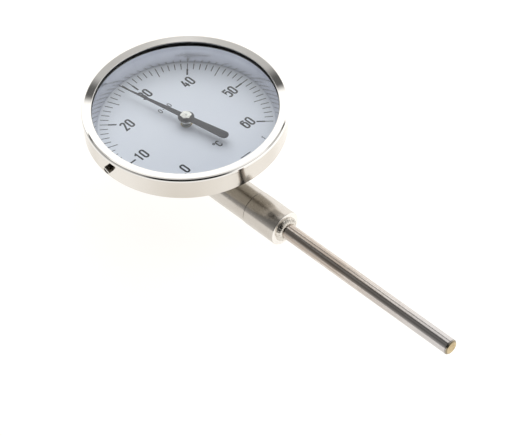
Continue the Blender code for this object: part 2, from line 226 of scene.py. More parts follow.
def prism(outline, place):
    """A bmesh of an outline, extruded between the two heights that place(x, y, side) gives."""
    bm = bmesh.new()
    lower = [bm.verts.new(place(x, y, 0)) for x, y in outline]
    upper = [bm.verts.new(place(x, y, 1)) for x, y in outline]
    count = len(outline)
    for i in range(count):
        after = (i + 1) % count
        bm.faces.new((lower[i], lower[after], upper[after], upper[i]))
    bm.faces.new(lower)
    bm.faces.new(upper)
    return bm


def combine(piece, cutter_bm, operation, material=None):
    """Boolean of a piece with a throwaway solid. Cut faces take the material given."""
    bmesh.ops.recalc_face_normals(cutter_bm, faces=cutter_bm.faces)
    mesh = bpy.data.meshes.new("cutter")
    cutter_bm.to_mesh(mesh)
    cutter_bm.free()
    if material:
        mesh.materials.append(material)
    cutter = bpy.data.objects.new("cutter", mesh)
    bpy.context.scene.collection.objects.link(cutter)
    modifier = piece.modifiers.new("combine", "BOOLEAN")
    modifier.operation = operation
    modifier.object = cutter
    modifier.material_mode = "TRANSFER"
    bpy.context.view_layer.update()
    graph = bpy.context.evaluated_depsgraph_get()
    done = bpy.data.meshes.new_from_object(piece.evaluated_get(graph))
    piece.modifiers.remove(modifier)
    done.shade_smooth()
    done.set_sharp_from_angle(angle=SHARP)
    piece.data = done
    bpy.data.objects.remove(cutter)


# ---------------------------------------------------------------- materials


RANGE_SOCKETS = ("From Min", "From Max", "To Min", "To Max")


class Tree:
    """Short calls for a material's nodes."""

    def __init__(self, name):
        self.material = bpy.data.materials.new(name)
        self.material.use_nodes = True
        self.tree = self.material.node_tree
        self.shader = self.tree.nodes["Principled BSDF"]

    def node(self, kind, **settings):
        made = self.tree.nodes.new(kind)
        for key, value in settings.items():
            setattr(made, key, value)
        return made

    def link(self, source, target):
        self.tree.links.new(source, target)

    def feed(self, socket, value):
        if isinstance(value, bpy.types.NodeSocket):
            self.link(value, socket)
        else:
            socket.default_value = value

    def math(self, operation, first, second=0.0):
        made = self.node("ShaderNodeMath", operation=operation)
        self.feed(made.inputs[0], first)
        self.feed(made.inputs[1], second)
        return made.outputs[0]

    def vector(self, operation, first, second=(0, 0, 0)):
        made = self.node("ShaderNodeVectorMath", operation=operation)
        self.feed(made.inputs[0], first)
        self.feed(made.inputs[1], second)
        return made.outputs["Value" if operation in ("LENGTH", "DOT_PRODUCT") else "Vector"]

    def place(self):
        return self.node("ShaderNodeTexCoord").outputs["Object"]

    def noise(self, vector, scale, detail=4.0, roughness=0.6):
        made = self.node("ShaderNodeTexNoise")
        self.feed(made.inputs["Vector"], vector)
        made.inputs["Scale"].default_value = scale
        made.inputs["Detail"].default_value = detail
        made.inputs["Roughness"].default_value = roughness
        return made.outputs["Fac"]

    def spread(self, value, low, high, out_low=0.0, out_high=1.0):
        made = self.node("ShaderNodeMapRange")
        self.feed(made.inputs["Value"], value)
        for key, number in zip(RANGE_SOCKETS, (low, high, out_low, out_high)):
            made.inputs[key].default_value = number
        return made.outputs["Result"]

    def mix(self, factor, first, second):
        made = self.node("ShaderNodeMix", data_type="RGBA")
        self.feed(made.inputs["Factor"], factor)
        self.feed(made.inputs["A"], (*first, 1.0) if isinstance(first, tuple) else first)
        self.feed(made.inputs["B"], (*second, 1.0) if isinstance(second, tuple) else second)
        return made.outputs["Result"]

    def bump(self, height, strength, distance):
        made = self.node("ShaderNodeBump")
        made.inputs["Strength"].default_value = strength
        made.inputs["Distance"].default_value = distance
        self.feed(made.inputs["Height"], height)
        self.link(made.outputs["Normal"], self.shader.inputs["Normal"])

    def part(self, vector, axis):
        """One coordinate of a vector."""
        made = self.node("ShaderNodeSeparateXYZ")
        self.link(vector, made.inputs[0])
        return made.outputs[axis]

    def add(self, first, second):
        return self.math("ADD", first, second)

    def times(self, first, second):
        return self.math("MULTIPLY", first, second)

    def set(self, **sockets):
        for key, value in sockets.items():
            self.feed(self.shader.inputs[key.replace("_", " ")], value)

    def turned_place(self, origin, axis):
        """(radius, height, 0) about an axis, so that noise on it makes rings as a lathe tool does."""
        offset = self.vector("SUBTRACT", self.place(), tuple(origin))
        height = self.vector("DOT_PRODUCT", offset, tuple(axis))
        along = self.node("ShaderNodeVectorMath", operation="SCALE")
        along.inputs[0].default_value = tuple(axis)
        self.link(height, along.inputs["Scale"])
        radius = self.vector("LENGTH", self.vector("SUBTRACT", offset, along.outputs["Vector"]))
        both = self.node("ShaderNodeCombineXYZ")
        self.link(radius, both.inputs["X"])
        self.link(height, both.inputs["Y"])
        return both.outputs["Vector"]


def lathe_metal(name, colour, shade, rough, origin, axis, rings=2600.0, bump=0.12, end_face_highlight=None):
    """Turned metal: fine rings, cloudy gloss and faint marks. An end face at height zero can be given a
    brighter colour as a painted highlight.
    """
    tree = Tree(name)
    turned = tree.turned_place(origin, axis)
    ring = tree.noise(turned, rings, 3.0)
    broad = tree.noise(turned, rings / 14, 2.0)
    cloud = tree.noise(tree.place(), 55.0, 5.0)
    marks = tree.noise(tree.place(), 420.0, 6.0, 0.75)
    worn = tree.spread(marks, 0.56, 0.70)
    tint = tree.mix(tree.spread(cloud, 0.35, 0.65), colour, shade)
    tint = tree.mix(tree.times(worn, 0.25), tint, shade)
    # Painted highlight: the end face at height zero gets a brighter colour.
    if end_face_highlight:
        end = tree.spread(tree.part(turned, "Y"), -0.22 * MM, -0.08 * MM)
        tint = tree.mix(end, tint, end_face_highlight)
    gloss = tree.spread(ring, 0.3, 0.7, rough * 0.75, rough * 1.25)
    gloss = tree.add(gloss, tree.spread(cloud, 0.3, 0.7, -0.03, 0.05))
    gloss = tree.add(gloss, tree.times(worn, 0.08))
    tree.set(Base_Color=tint, Metallic=1.0, Roughness=gloss, Anisotropic=0.35)
    tree.bump(tree.add(ring, broad), bump, 0.00002)
    return tree.material


def polished_metal(name, colour, shade, rough):
    """Polished sheet: nearly a mirror on the rim, and rougher on the wall below the rim, whose darker, warmer
    colour in vertical bands is painted shade that dims the wall's reflection.
    """
    tree = Tree(name)
    turned = tree.turned_place(DIAL_AXIS, Z)
    hairline = tree.noise(turned, 5200.0, 2.0)
    smudge = tree.noise(tree.place(), 38.0, 6.0, 0.62)
    peel = tree.noise(tree.place(), 260.0, 3.0)
    tint = tree.mix(tree.spread(smudge, 0.4, 0.7), colour, shade)
    wall = tree.spread(tree.part(turned, "Y"), -1.9 * MM, -1.5 * MM, 1.0, 0.0)
    # Painted shade: the wall below the rim gets a darker, warmer colour in vertical bands, so that it mirrors
    # the floor more dimly.
    shade_band = tree.noise(tree.vector("MULTIPLY", tree.place(), (1.0, 1.0, 0.2)), 24.0, 2.0)
    wall_painted_shade = tree.mix(tree.spread(shade_band, 0.35, 0.65), (0.80, 0.765, 0.72), (0.64, 0.595, 0.535))
    tint = tree.mix(wall, tint, wall_painted_shade)
    gloss = tree.spread(smudge, 0.35, 0.7, rough * 0.6, rough * 1.5)
    gloss = tree.add(gloss, tree.spread(hairline, 0.3, 0.7, 0.0, 0.02))
    gloss = tree.add(gloss, tree.times(wall, 0.09))
    tree.set(Base_Color=tint, Metallic=1.0, Roughness=gloss)
    tree.bump(tree.add(tree.times(peel, 0.6), tree.times(hairline, 0.4)), 0.05, 0.00001)
    return tree.material


def drawn_tube(name, colour, shade, rough):
    """Drawn and lightly ground tube: streaks along it, rub marks, and a straw heat tint at the tip."""
    tree = Tree(name)
    squeeze = tree.vector("MULTIPLY", tree.place(), (1.0, 0.05, 1.0))
    streak = tree.noise(squeeze, 2400.0, 4.0)
    mottle = tree.noise(tree.place(), 900.0, 5.0, 0.7)
    cloud = tree.noise(tree.place(), 90.0, 4.0)
    height = tree.vector("DOT_PRODUCT", tree.place(), (0, -1, 0))
    heat = tree.spread(height, (STEM_END - 2.5) * MM, STEM_END * MM)
    dull = tree.spread(height, (STEM_END - 70) * MM, (STEM_END - 10) * MM)
    line = tree.noise(tree.vector("MULTIPLY", tree.place(), (1.0, 0.012, 1.0)), 1500.0, 2.0)
    tint = tree.mix(tree.spread(cloud, 0.35, 0.65), colour, shade)
    tint = tree.mix(tree.spread(line, 0.46, 0.56, 0.0, 0.8), tint, (0.36, 0.30, 0.255))
    tint = tree.mix(tree.times(tree.spread(mottle, 0.48, 0.60), 0.6), tint, (0.46, 0.39, 0.33))
    tint = tree.mix(tree.times(dull, 0.8), tint, (0.56, 0.545, 0.55))
    tint = tree.mix(tree.times(heat, 0.3), tint, (0.50, 0.42, 0.33))
    gloss = tree.spread(streak, 0.3, 0.7, rough * 0.7, rough * 1.2)
    gloss = tree.add(gloss, tree.spread(mottle, 0.5, 0.7, 0.0, 0.10))
    tree.set(Base_Color=tint, Metallic=1.0, Roughness=gloss)
    tree.bump(tree.add(tree.times(streak, 0.4), tree.times(mottle, 0.9)), 0.30, 0.00005)
    return tree.material


def tip_metal(name):
    """Plug at the stem's end: grey on its side, a straw coloured turned face, and a darker border on its
    rounded shoulder that is painted shade.
    """
    tree = Tree(name)
    turned = tree.turned_place(STEM_AXIS, -Y)
    ring = tree.noise(turned, 3600.0, 2.0)
    cloud = tree.noise(tree.place(), 300.0, 4.0)
    face = tree.spread(tree.part(turned, "Y"), (STEM_END - 0.8) * MM, (STEM_END - 0.5) * MM)
    # Painted shade: the outer border of the face, on the rounded shoulder, is darkened.
    inside = tree.spread(tree.part(turned, "X"), (STEM_R - 1.0) * MM, (STEM_R - 0.75) * MM, 1.0, 0.0)
    straw = tree.mix(tree.spread(cloud, 0.35, 0.65), (0.60, 0.48, 0.28), (0.46, 0.35, 0.19))
    straw = tree.mix(inside, (0.30, 0.25, 0.17), straw)
    tint = tree.mix(face, tree.mix(cloud, (0.56, 0.545, 0.55), (0.47, 0.45, 0.44)), straw)
    tree.set(Base_Color=tint, Metallic=1.0, Roughness=tree.spread(ring, 0.3, 0.7, 0.14, 0.26))
    tree.bump(ring, 0.2, 0.00003)
    return tree.material


def weld_metal(name):
    """Bead with a grey oxide skin between bright ripples."""
    tree = Tree(name)
    cloud = tree.noise(tree.place(), 1100.0, 5.0, 0.7)
    patch = tree.noise(tree.place(), 280.0, 4.0)
    tint = tree.mix(tree.spread(cloud, 0.4, 0.62), (0.84, 0.80, 0.74), (0.52, 0.48, 0.43))
    tint = tree.mix(tree.times(tree.spread(patch, 0.5, 0.65), 0.3), tint, (0.58, 0.48, 0.36))
    tree.set(Base_Color=tint, Metallic=1.0, Roughness=tree.spread(cloud, 0.35, 0.65, 0.14, 0.34))
    tree.bump(cloud, 0.25, 0.00005)
    return tree.material


def satin_ring(name):
    """Anodised cone: satin, so that the scale mirrors in it softly."""
    tree = Tree(name)
    turned = tree.turned_place(DIAL_AXIS, Z)
    ring = tree.noise(turned, 4200.0, 2.0)
    cloud = tree.noise(tree.place(), 120.0, 4.0)
    tint = tree.mix(tree.spread(cloud, 0.35, 0.65), (0.70, 0.71, 0.76), (0.62, 0.63, 0.69))
    tree.set(Base_Color=tint, Metallic=1.0, Roughness=tree.spread(ring, 0.3, 0.7, 0.12, 0.19))
    tree.bump(ring, 0.06, 0.00001)
    return tree.material


def enamel(name, colour, shade, rough, grain, depth):
    """Sprayed paint: a little tone in patches, and the fine orange peel of a dried coat."""
    tree = Tree(name)
    patch = tree.noise(tree.place(), 22.0, 4.0)
    peel = tree.noise(tree.place(), grain, 3.0)
    speck = tree.noise(tree.place(), grain * 2.5, 5.0, 0.8)
    tint = tree.mix(tree.spread(patch, 0.35, 0.65), colour, shade)
    tint = tree.mix(tree.times(tree.spread(speck, 0.62, 0.72), 0.2), tint, shade)
    tree.set(Base_Color=tint, Roughness=tree.spread(peel, 0.35, 0.65, rough * 0.9, rough * 1.1))
    tree.bump(peel, depth, 0.00001)
    return tree.material


def small_metal(name, colour, shade, rough):
    """Small plated or machined parts: cloudy gloss and fine scratches."""
    tree = Tree(name)
    cloud = tree.noise(tree.place(), 175.0, 4.0)
    scratch = tree.noise(tree.vector("MULTIPLY", tree.place(), (1.0, 0.15, 3.0)), 2100.0, 5.0, 0.7)
    tint = tree.mix(tree.spread(cloud, 0.35, 0.65), colour, shade)
    gloss = tree.spread(cloud, 0.3, 0.7, rough * 0.7, rough * 1.3)
    gloss = tree.add(gloss, tree.spread(scratch, 0.5, 0.75, 0.0, 0.10))
    tree.set(Base_Color=tint, Metallic=1.0, Roughness=gloss)
    tree.bump(scratch, 0.12, 0.00001)
    return tree.material


def rubber(name):
    tree = Tree(name)
    grain = tree.noise(tree.place(), 1500.0, 5.0, 0.7)
    bloom = tree.noise(tree.place(), 150.0, 4.0)
    tint = tree.mix(tree.spread(bloom, 0.4, 0.7), (0.012, 0.012, 0.012), (0.035, 0.034, 0.033))
    tree.set(Base_Color=tint, Roughness=tree.spread(grain, 0.3, 0.7, 0.5, 0.7))
    tree.bump(grain, 0.25, 0.00003)
    return tree.material


def nylon(name):
    tree = Tree(name)
    grain = tree.noise(tree.place(), 900.0, 4.0)
    tint = tree.mix(tree.spread(grain, 0.35, 0.65), (0.84, 0.83, 0.78), (0.76, 0.74, 0.68))
    tree.set(Base_Color=tint, Roughness=tree.spread(grain, 0.3, 0.7, 0.40, 0.52), Subsurface_Weight=0.1)
    tree.bump(grain, 0.15, 0.00002)
    return tree.material


def window(name):
    """Flat float glass: clear, with a mirror that grows towards its edge-on side and faint smears."""
    tree = Tree(name)
    smear = tree.noise(tree.place(), 30.0, 5.0)
    mirror = tree.node("ShaderNodeBsdfGlossy")
    tree.feed(mirror.inputs["Roughness"], tree.spread(smear, 0.45, 0.8, 0.0, 0.05))
    clear = tree.node("ShaderNodeBsdfTransparent")
    clear.inputs["Color"].default_value = (0.985, 0.995, 0.995, 1.0)
    slant = tree.node("ShaderNodeLayerWeight")
    slant.inputs["Blend"].default_value = 0.5
    head_on = 0.04
    share = tree.times(tree.math("POWER", slant.outputs["Facing"], 5.0), 1.0 - head_on)
    share = tree.add(share, head_on)
    both = tree.node("ShaderNodeMixShader")
    tree.link(share, both.inputs[0])
    tree.link(clear.outputs[0], both.inputs[1])
    tree.link(mirror.outputs[0], both.inputs[2])
    output = next(n for n in tree.tree.nodes if n.type == "OUTPUT_MATERIAL")
    tree.link(both.outputs[0], output.inputs["Surface"])
    tree.tree.nodes.remove(tree.shader)
    return tree.material


POLISHED = polished_metal("polished_steel", (0.84, 0.825, 0.80), (0.79, 0.77, 0.74), 0.035)
# Painted shade: the case steel's dark khaki colour stands in for the shadowed floor that the case back
# mirrors.
SHADED_CASE_STEEL = lathe_metal("case_steel_painted_shade", (0.40, 0.375, 0.325), (0.34, 0.32, 0.28), 0.28, DIAL_AXIS, Z)
NECK_STEEL = lathe_metal(
    "neck_steel",
    (0.64, 0.605, 0.56),
    (0.57, 0.53, 0.485),
    0.20,
    STEM_AXIS,
    -Y,
    rings=2200.0,
    bump=0.10,
    # painted highlight on the sleeve's end face
    end_face_highlight=(0.90, 0.87, 0.83),
)
STEM_STEEL = drawn_tube("stem_steel", (0.74, 0.685, 0.64), (0.60, 0.545, 0.50), 0.12)
TIP_STEEL = tip_metal("tip_steel")
WELD = weld_metal("weld_steel")
SATIN = satin_ring("satin_ring")
DIAL_WHITE = enamel("dial_white", (0.79, 0.81, 0.885), (0.76, 0.78, 0.865), 0.5, 1800.0, 0.08)
PRINT = enamel("print_black", (0.010, 0.012, 0.020), (0.020, 0.022, 0.032), 0.5, 3000.0, 0.05)
POINTER_PAINT = enamel("pointer_black", (0.026, 0.027, 0.036), (0.038, 0.039, 0.050), 0.42, 2600.0, 0.12)
NICKEL = small_metal("nickel", (0.88, 0.87, 0.84), (0.78, 0.77, 0.73), 0.16)
BRASS = small_metal("brass", (0.80, 0.62, 0.32), (0.66, 0.48, 0.22), 0.26)
BURNISHED = small_metal("burnished_steel", (0.085, 0.072, 0.055), (0.035, 0.030, 0.024), 0.20)
BRIGHT_CUT = small_metal("bright_cut", (0.98, 0.96, 0.93), (0.94, 0.91, 0.86), 0.22)
BIMETAL = small_metal("bimetal", (0.64, 0.55, 0.42), (0.50, 0.42, 0.34), 0.34)
RUBBER = rubber("rubber")
NYLON = nylon("nylon")
GLASS = window("window_glass_clear")

SLOT_MATERIALS = {
    "polished_steel": POLISHED,
    "turned_steel": SHADED_CASE_STEEL,
    "neck_steel": NECK_STEEL,
    "stem_steel": STEM_STEEL,
    "weld_steel": WELD,
    "satin_ring": SATIN,
    "dial_white": DIAL_WHITE,
    "pointer_black": POINTER_PAINT,
    "nickel_parts": NICKEL,
    "brass_parts": BRASS,
    "bimetal": BIMETAL,
    "seals": RUBBER,
    "nylon_parts": NYLON,
    "window": GLASS,
}


def paint_cad_nodes():
    for part in frame["record"]["subparts"]:
        piece = frame["nodes"][part["node"]]
        piece.data.materials.clear()
        piece.data.materials.append(SLOT_MATERIALS[part["material_slot"]])


# ---------------------------------------------------------------- housing


def cut_screw_hole(piece):
    """Opens the wall for the adjusting screw."""
    inside, outside = CASE_R - 2.5, CASE_R + 1.5
    profile = [(0, inside), (SCREW_HOLE_R, inside), (SCREW_HOLE_R, outside), (0, outside)]
    combine(piece, lathe(profile, screw_place, 48), "DIFFERENCE")


def make_bezel():
    """Ring with a rolled rim, a straight wall and a rear edge turned in over the case."""
    rim = RIM_R - 0.4
    step = -2.7
    rear = CASE_R - 0.1
    corners = [
        (LIP_R, -LIP_DEPTH, 0.2),
        (LIP_R, -0.45, 0.3),
        (rim - 1.2, 0.0, 0.25),
        (rim - 0.35, -0.2, 0.45),
        (rim, -0.95, 0.45),
        (rim, step + 0.25, 0.3),
        (CASE_R, step, 0.3),
        (rear, 1.05 - CASE_HEIGHT, 0.8),
        (rear - 1.05, -CASE_HEIGHT, 0.15),
        (rear - 1.4, 0.35 - CASE_HEIGHT, 0.1),
        (rear - 0.6, 1.2 - CASE_HEIGHT, 0.3),
        (CASE_R - 0.6, -0.9, 0.4),
        (LIP_R + 0.6, -LIP_DEPTH, 0.2),
    ]
    bm = lathe(rounded(corners, 8), dial_place, RIM_STEPS)
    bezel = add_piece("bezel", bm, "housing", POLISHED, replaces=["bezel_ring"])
    cut_screw_hole(bezel)


def make_case_back():
    """Deep-drawn pan: the flat back with its centre cup, soft at every bend."""
    wall = CASE_R - 1.0
    rim = SPACER_TOP - 0.8
    back = CASE_BACK + 3.0
    cup_r = 16.0
    opening_r = 5.8
    sheet = 0.6
    corners = [
        (wall, rim, 0.15),
        (wall, back + 1.9, 0.8),
        (wall - 1.9, back, 0.8),
        (cup_r, back, 0.7),
        (cup_r - 0.8, CASE_BACK, 0.7),
        (opening_r, CASE_BACK, 0.1),
        (opening_r, CASE_BACK + sheet, 0.1),
        (cup_r - 1.3, CASE_BACK + sheet, 0.3),
        (cup_r - 0.5, back + sheet, 0.9),
        (wall - 2.15, back + sheet, 0.3),
        (wall - sheet, back + 2.15, 0.3),
        (wall - sheet, rim, 0.15),
    ]
    bm = lathe(rounded(corners, 6), dial_place, DISC_STEPS)
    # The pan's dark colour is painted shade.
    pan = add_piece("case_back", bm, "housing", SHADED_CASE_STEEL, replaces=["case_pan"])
    cut_screw_hole(pan)


def make_window():
    """Glass disc, with its rubber ring."""
    edge = 0.15
    glass = [
        (0, GLASS_LOW, 0),
        (WINDOW_R, GLASS_LOW, edge),
        (WINDOW_R, GLASS_HIGH, edge),
        (0, GLASS_HIGH, 0),
    ]
    bm = lathe(rounded(glass, 3), dial_place, DISC_STEPS)
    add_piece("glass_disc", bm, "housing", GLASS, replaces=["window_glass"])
    inner = LIP_R - 0.2
    gasket = [
        (inner, GASKET_LOW, 0.12),
        (WINDOW_R, GASKET_LOW, 0.1),
        (WINDOW_R, GASKET_HIGH, 0.1),
        (inner, GASKET_HIGH, 0.12),
    ]
    bm = lathe(rounded(gasket, 3), dial_place, DISC_STEPS)
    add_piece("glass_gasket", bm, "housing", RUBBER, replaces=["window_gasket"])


def make_cone_ring():
    """Satin cone from the dial up to the glass, with the flange that it hangs on."""
    foot = DIAL_FACE + 0.3
    foot_r = 43.7
    flange = SPACER_TOP - 0.5
    flange_r = CASE_R - 1.0
    tip = GLASS_LOW - 0.06
    spacer = [
        (foot_r, foot, 0.1),
        (foot_r + 0.5, foot, 0.1),
        (foot_r + 2.9, flange, 0.3),
        (flange_r, flange, 0.1),
        (flange_r, SPACER_TOP, 0.1),
        (foot_r + 3.2, SPACER_TOP, 0.0),
        (foot_r + 2.6, tip, 0.1),
        (foot_r + 2.25, tip, 0.1),
    ]
    bm = lathe(rounded(spacer, 4), dial_place, RIM_STEPS)
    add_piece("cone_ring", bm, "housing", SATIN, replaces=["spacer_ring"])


# ---------------------------------------------------------------- dial and its print


def make_dial():
    bore = 2.9
    face = [
        (bore, DIAL_BACK, 0.05),
        (DIAL_R, DIAL_BACK, 0.1),
        (DIAL_R, DIAL_FACE, 0.12),
        (bore, DIAL_FACE, 0.12),
    ]
    bm = lathe(rounded(face, 3), dial_place, DISC_STEPS)
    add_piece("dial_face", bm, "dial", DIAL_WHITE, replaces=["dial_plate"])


PRINT_LOW = DIAL_FACE - 0.01
PRINT_HIGH = DIAL_FACE + 0.03


def stroke(bm, line, width, centre=(0, 0), closed=False):
    """A flat printed stroke of even width along (x, y) points, thick enough to be a solid."""
    line = [Vector(point) for point in line]
    count = len(line)
    left, right = [], []
    for i, here in enumerate(line):
        before = line[i - 1] if i or closed else here
        after = line[(i + 1) % count] if i + 1 < count or closed else here
        into = (here - before).normalized() if (here - before).length else (after - here).normalized()
        out = (after - here).normalized() if (after - here).length else into
        mean = (into + out).normalized()
        side = Vector((-mean.y, mean.x))
        reach = width / 2 / max(0.5, side.dot(Vector((-into.y, into.x))))
        left.append(here + side * reach)
        right.append(here - side * reach)

    def corner(point, height):
        x, y = turned(centre[0] + point.x, centre[1] + point.y, DIAL_TRIM)
        return bm.verts.new(DIAL_AXIS + Vector((x, y, height)) * MM)

    loops = []
    for a, b in zip(left, right):
        section = [(a, PRINT_LOW), (b, PRINT_LOW), (b, PRINT_HIGH), (a, PRINT_HIGH)]
        loops.append([corner(point, height) for point, height in section])
    pairs = list(zip(loops, loops[1:] + loops[:1]))
    for first, second in pairs if closed else pairs[:-1]:
        for i in range(4):
            after = (i + 1) % 4
            bm.faces.new((first[i], first[after], second[after], second[i]))
    if not closed:
        bm.faces.new(loops[0])
        bm.faces.new(loops[-1])


def arc(x, y, radius, start, end, steps=10):
    """Points of an arc, in degrees."""
    turns = [math.radians(start + (end - start) * i / steps) for i in range(steps + 1)]
    return [(x + radius * math.cos(a), y + radius * math.sin(a)) for a in turns]


def glyph(sign, a, b):
    """Strokes (points, closed) of a sign, on a centre line box of half width a and half height b."""
    top, low = b - a, a - b
    waist = 0.06 * b
    if sign == "0":
        return [(arc(0, top, a, 0, 180) + arc(0, low, a, 180, 360), True)]
    if sign == "1":
        return [([(-0.75 * a, b - 0.95 * a), (0.25 * a, b), (0.25 * a, -b)], False)]
    if sign == "2":
        return [(arc(0, top, a, 170, -25) + [(-a, -b), (a, -b)], False)]
    if sign == "3":
        upper = arc(0, top, a, 165, 0) + [(a, waist + 0.75 * a), (0.35 * a, waist)]
        lower = [(0.35 * a, waist), (a, waist - 0.75 * a)] + arc(0, low, a, 0, -165)
        return [(upper, False), (lower, False), ([(-0.3 * a, waist), (0.4 * a, waist)], False)]
    if sign == "4":
        bar = -0.42 * b
        return [([(0.0, b), (-a, bar), (1.2 * a, bar)], False), ([(0.5 * a, 0.25 * b), (0.5 * a, -b)], False)]
    if sign == "5":
        bowl = 0.25 * b - a * 0.5
        flag = [(0.9 * a, b), (-a, b), (-a, bowl)]
        return [(flag + arc(0, bowl, a, 155, 0) + arc(0, low, a, 0, -165), False)]
    if sign == "6":
        bowl = 0.12 * b
        body = arc(0, bowl, a, 180, 0) + arc(0, low, a, 0, -180)
        return [(arc(0, top, a, 15, 180) + [(-a, low)], False), (body, True)]
    if sign == "C":
        return [(arc(0, top, a, 5, 180) + arc(0, low, a, 180, 355), False)]
    if sign == "o":
        return [(arc(0, 0, a, 0, 330, 12), True)]
    return [([(-0.6 * a, 0), (0.6 * a, 0)], False)]


def write(bm, text, centre, height, width, line, pitch):
    """Prints a row of signs, each as wide as the others."""
    a = (width - line) / 2
    b = (height - line) / 2
    start = -pitch * (len(text) - 1) / 2
    for i, sign in enumerate(text):
        place = (centre[0] + start + i * pitch, centre[1])
        for points, closed in glyph(sign, a, b):
            stroke(bm, points, line, place, closed)


def numeral_place(value, out):
    """Centre of a numeral: on a circle at 10, 30 and 50, and given one by one at the four others."""
    if value == MID_SCALE:
        return out * 29.7
    if value % 20 == 10:
        return out * 30.5
    place = Vector((math.copysign(20.8, out.x), 20.4 if out.y > 0 else -21.7))
    if value == 0:
        place.x -= 1.5
    return place


def make_print():
    """Scale, numerals and unit, as thin print on the dial."""
    scale_r = 42.7
    fine, bold = 0.40, 0.86
    numeral = {"height": 6.45, "width": 3.0, "line": 0.96, "pitch": 3.35}
    bm = bmesh.new()
    for value in range(SCALE_END + 1):
        angle = math.radians(90 - (value - MID_SCALE) * DEG_PER_UNIT)
        out = Vector((math.cos(angle), math.sin(angle)))
        inner = 36.1 if value % 10 == 5 else 38.6
        stroke(bm, [out * inner, out * scale_r], fine)
        if value % 10 == 0:
            stroke(bm, [out * 34.4, out * 38.7], bold)
            write(bm, str(value), numeral_place(value, out), **numeral)
    write(bm, "C", (0.9, -21.6), height=4.4, width=2.4, line=0.66, pitch=2.5)
    write(bm, "o", (-1.15, -20.1), height=1.5, width=1.5, line=0.5, pitch=2.0)
    write(bm, "0-60", (0.0, 15.3), height=3.0, width=1.6, line=0.42, pitch=2.0)
    write(bm, "1", (18.6, -34.8), height=2.6, width=1.4, line=0.42, pitch=1.8)
    stroke(bm, [(1.2, -36.6), (7.4, -36.9)], 0.5)
    stroke(bm, [(15.0, -38.8), (18.7, -38.8)], 0.30)
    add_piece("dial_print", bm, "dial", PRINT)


# ---------------------------------------------------------------- pointer


def make_pointer():
    """Blade that tapers to a point, with a round boss and a round-ended tail."""
    boss_r, reach, tail = 4.05, 41.0, 25.0
    point_half, tail_half = 0.15, 2.35
    taper = (tail_half - point_half) / (reach + tail - tail_half)
    start = math.degrees(math.asin((point_half + taper * (reach - boss_r)) / boss_r))
    end = 180 - math.degrees(math.asin((point_half + taper * (reach + boss_r)) / boss_r))
    right = arc(0, 0, boss_r, 90 - start, 90 - end, 24)
    left = [(-x, y) for x, y in reversed(right)]
    outline = [(-point_half, reach), (point_half, reach)] + right
    outline += arc(0, tail_half - tail, tail_half, 0, -180, 16) + left
    heights = (POINTER_LOW, POINTER_HIGH)
    bm = prism(outline, lambda x, y, side: pointer_place(x, y, heights[side]))
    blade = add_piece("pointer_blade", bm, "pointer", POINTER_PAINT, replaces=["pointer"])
    bore, below, above = 0.9, POINTER_LOW - 1, POINTER_HIGH + 1
    hole = [(0, below), (bore, below), (bore, above), (0, above)]
    combine(blade, lathe(hole, dial_place, HOLE_STEPS), "DIFFERENCE")
    edge = blade.modifiers.new("edges", "BEVEL")
    edge.width = 0.09 * MM
    edge.segments = 3
    edge.limit_method = "ANGLE"
    edge.angle_limit = SHARP


def hexagon(corner_r):
    """Outline of a hexagon, turned a little from the pointer's direction."""
    turns = [math.radians(8) + i * math.pi / 3 for i in range(6)]
    return [(corner_r * math.cos(a), corner_r * math.sin(a)) for a in turns]


def make_nut():
    """Hexagon nut with a chamfered top and a centre dimple."""
    base = POINTER_HIGH + 0.05
    heights = (base, NUT_TOP)
    bm = prism(hexagon(NUT_CORNER_R), lambda x, y, side: pointer_place(x, y, heights[side]))
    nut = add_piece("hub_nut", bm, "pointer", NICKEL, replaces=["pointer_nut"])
    clear = 4
    top = NUT_TOP + 0.001
    cone = [(0, base - 1), (clear, base - 1), (clear, NUT_TOP - 0.95), (2.35, top), (0, top)]
    combine(nut, lathe(cone, dial_place, SMALL_STEPS), "INTERSECT")
    dimple = [(0, NUT_TOP - 0.45), (0.2, NUT_TOP - 0.3), (0.42, NUT_TOP + 0.1), (0, NUT_TOP + 0.1)]
    combine(nut, lathe(dimple, dial_place, HOLE_STEPS), "DIFFERENCE")


def make_collar():
    """Round flange under the pointer on a hexagon shank."""
    top = POINTER_LOW - 0.05
    bore, flange_r, thick = 0.85, 3.3, 0.6
    flange = [
        (bore, top, 0.05),
        (flange_r, top, 0.15),
        (flange_r, top - thick, 0.15),
        (bore, top - thick, 0.05),
    ]
    bm = lathe(rounded(flange, 4), dial_place, SMALL_STEPS)
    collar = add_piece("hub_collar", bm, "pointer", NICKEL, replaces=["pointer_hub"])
    heights = (top - 2.75, top - 0.5)
    shank = prism(hexagon(NUT_CORNER_R * 0.92), lambda x, y, side: pointer_place(x, y, heights[side]))
    combine(collar, shank, "UNION")
    hole = [(0, top - 4), (bore, top - 4), (bore, top + 1), (0, top + 1)]
    combine(collar, lathe(hole, dial_place, HOLE_STEPS), "DIFFERENCE")


# ---------------------------------------------------------------- adjusting screw


